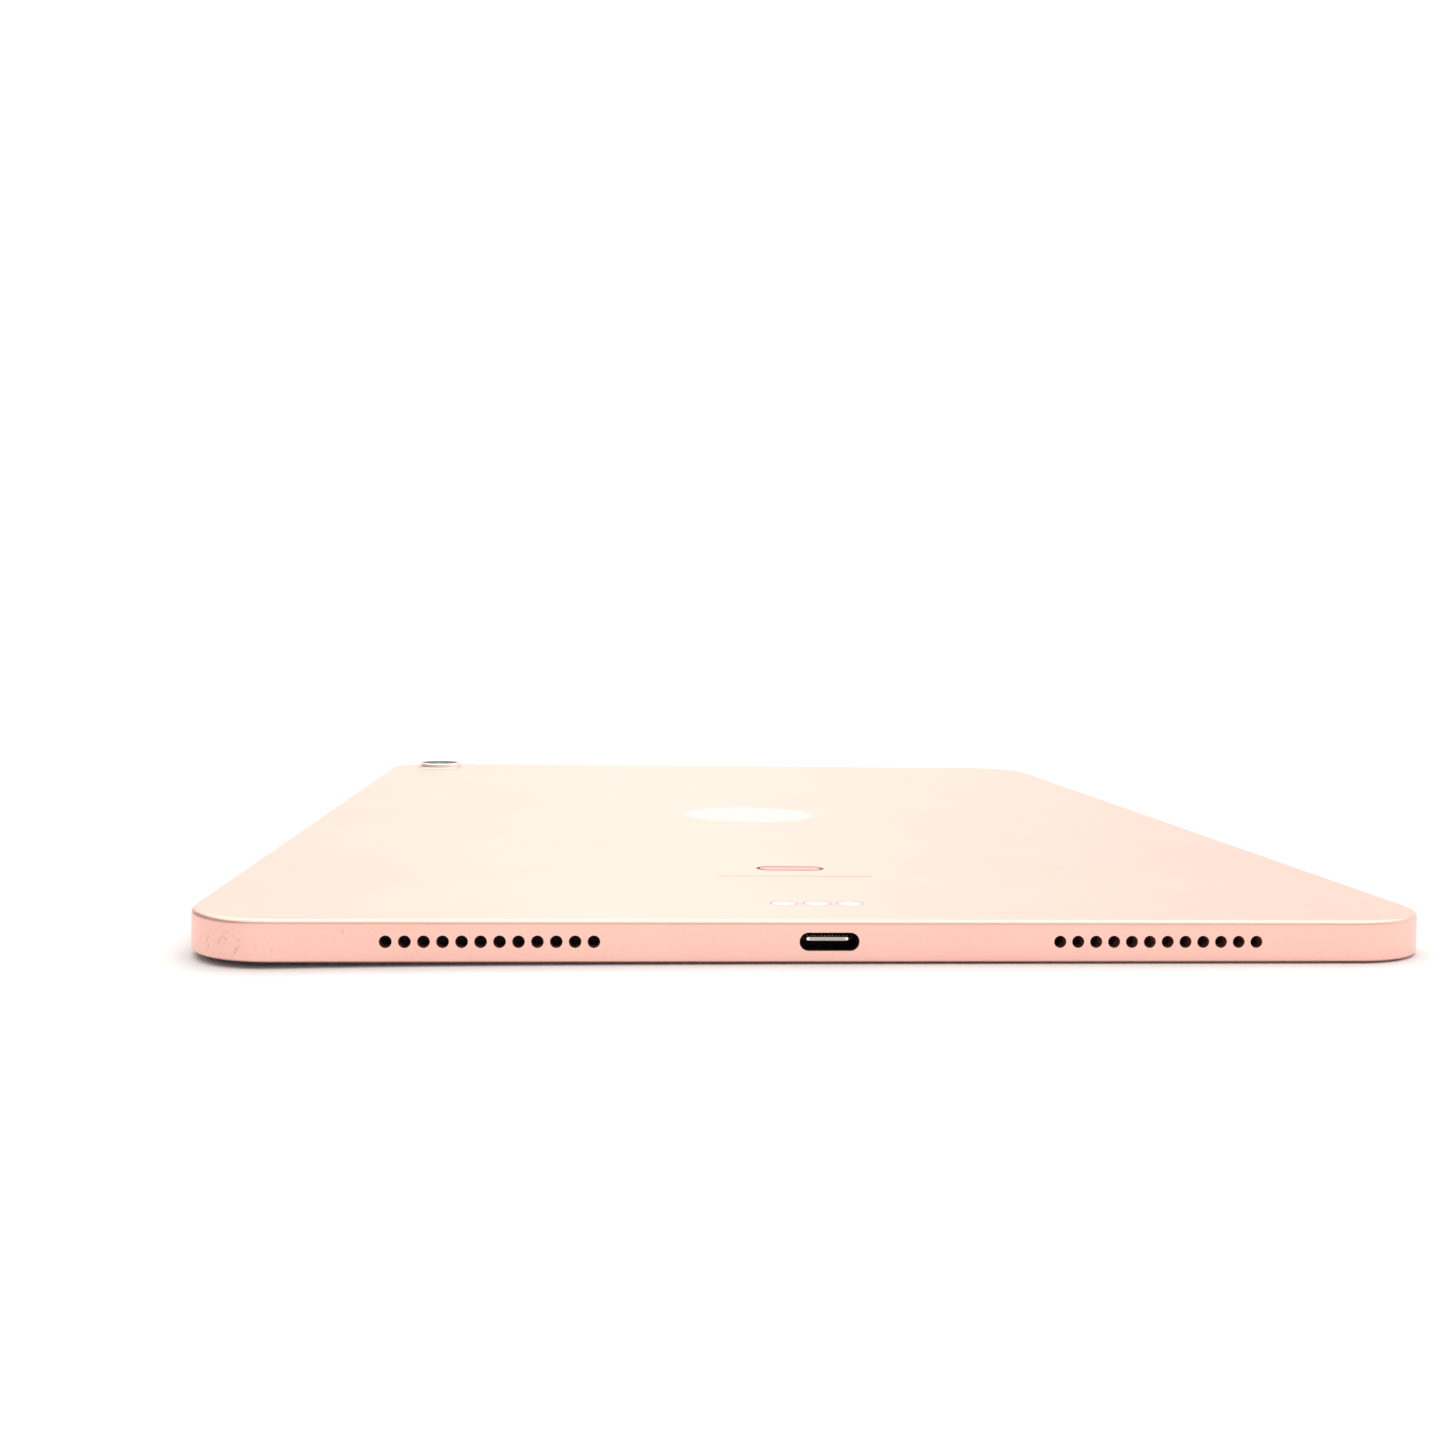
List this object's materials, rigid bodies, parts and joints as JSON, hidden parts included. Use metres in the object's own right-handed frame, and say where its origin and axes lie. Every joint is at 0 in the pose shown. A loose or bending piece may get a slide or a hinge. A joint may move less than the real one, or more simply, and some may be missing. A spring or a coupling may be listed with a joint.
{
  "type": "tablet computer",
  "caption": "Thin rounded slab computer with a glass touch screen, aluminium back, single raised rear camera, edge buttons, speaker grilles and a charging port.",
  "frame": {"origin": "centre of the front glass's outer face, on which the tablet lies face down", "axes": "+Z out of the aluminium back, +Y towards the end with the rear camera and the top button, +X completes the right-handed set"},
  "size_m": [0.1789, 0.248, 0.0075],
  "materials": {
    "housing_aluminium": "satin",
    "emblem_metal": "polished",
    "cover_glass": "gloss",
    "bezel_print": "gloss",
    "clear_adhesive": "gloss",
    "frame_adhesive": "matte",
    "cell_front_glass": "gloss",
    "cell_rear_glass": "gloss",
    "light_guide": "satin",
    "lamp_strip": "matte",
    "tray_steel": "brushed",
    "bracket_steel": "satin",
    "can_steel": "satin",
    "flex_film": "satin",
    "dock_metal": "polished",
    "dock_insulator": "matte",
    "port_steel": "satin",
    "port_plastic": "satin",
    "pin_gold": "polished",
    "seal_rubber": "matte",
    "lens_window": "gloss",
    "lens_print": "gloss",
    "lens_barrel": "satin",
    "lens_glass": "gloss",
    "camera_case": "satin",
    "sensor_case": "satin",
    "fingerprint_glass": "satin",
    "speaker_plastic": "matte",
    "cone_film": "satin",
    "dust_mesh": "matte",
    "switch_metal": "satin",
    "stylus_plastic": "satin",
    "ferrite": "matte",
    "magnet_nickel": "satin",
    "antenna_carrier": "matte",
    "pouch_foil": "satin",
    "pull_tape": "matte",
    "board_laminate": "satin",
    "chip_plastic": "matte",
    "standoff_brass": "satin",
    "screw_steel": "satin"
  },
  "bodies": {
    "chassis": {"rear_housing": "housing_aluminium", "rear_emblem": "emblem_metal", "cover_glass": "cover_glass", "bezel_mask": "bezel_print", "optical_bond": "clear_adhesive", "display_gasket": "frame_adhesive", "lcd_front_glass": "cell_front_glass", "lcd_rear_glass": "cell_rear_glass", "light_guide": "light_guide", "led_strip": "lamp_strip", "display_tray": "tray_steel", "port_bracket": "bracket_steel", "rear_camera_bracket": "bracket_steel", "switch_brackets": "bracket_steel", "board_shield": "can_steel", "display_flex": "flex_film", "port_flex": "flex_film", "rear_camera_flex": "flex_film", "dock_contacts": "dock_metal", "dock_insulator": "dock_insulator", "port_shell": "port_steel", "port_tongue": "port_plastic", "port_pins": "pin_gold", "port_gasket": "seal_rubber", "rear_lens_window": "lens_window", "rear_lens_mask": "lens_print", "rear_camera_body": "camera_case", "front_camera": "camera_case", "light_sensor": "sensor_case", "microphones": "sensor_case", "speaker_lower_left": "speaker_plastic", "speaker_lower_right": "speaker_plastic", "speaker_upper_left": "speaker_plastic", "speaker_upper_right": "speaker_plastic", "speaker_drivers": "cone_film", "speaker_meshes": "dust_mesh", "top_switch": "switch_metal", "volume_switches": "switch_metal", "stylus_window": "stylus_plastic", "stylus_coil": "ferrite", "cover_magnets": "magnet_nickel", "stylus_magnets": "magnet_nickel", "antennas": "antenna_carrier", "battery_cell_left": "pouch_foil", "battery_cell_right": "pouch_foil", "battery_adhesive": "pull_tape", "logic_board": "board_laminate", "battery_boards": "board_laminate", "processor": "chip_plastic", "board_chips": "chip_plastic", "standoffs": "standoff_brass", "screws": "screw_steel"},
    "top_button": {"top_button": "housing_aluminium", "fingerprint_sensor": "fingerprint_glass"},
    "volume_up_button": {"volume_up_button": "housing_aluminium"},
    "volume_down_button": {"volume_down_button": "housing_aluminium"},
    "rear_lens": {"rear_lens_barrel": "lens_barrel", "rear_lens_element": "lens_glass"}
  },
  "joints": [
    {"name": "top_button_press", "type": "slide", "parent": "chassis", "child": "top_button", "axis": [0, -1, 0], "range_m": [0, 0.00025], "stiffness_N_per_m": 3000},
    {"name": "volume_up_press", "type": "slide", "parent": "chassis", "child": "volume_up_button", "axis": [1, 0, 0], "range_m": [0, 0.00025], "stiffness_N_per_m": 3000},
    {"name": "volume_down_press", "type": "slide", "parent": "chassis", "child": "volume_down_button", "axis": [1, 0, 0], "range_m": [0, 0.00025], "stiffness_N_per_m": 3000},
    {"name": "rear_lens_focus", "type": "slide", "parent": "chassis", "child": "rear_lens", "axis": [0, 0, 1], "range_m": [0, 0.0003], "stiffness_N_per_m": 60}
  ]
}
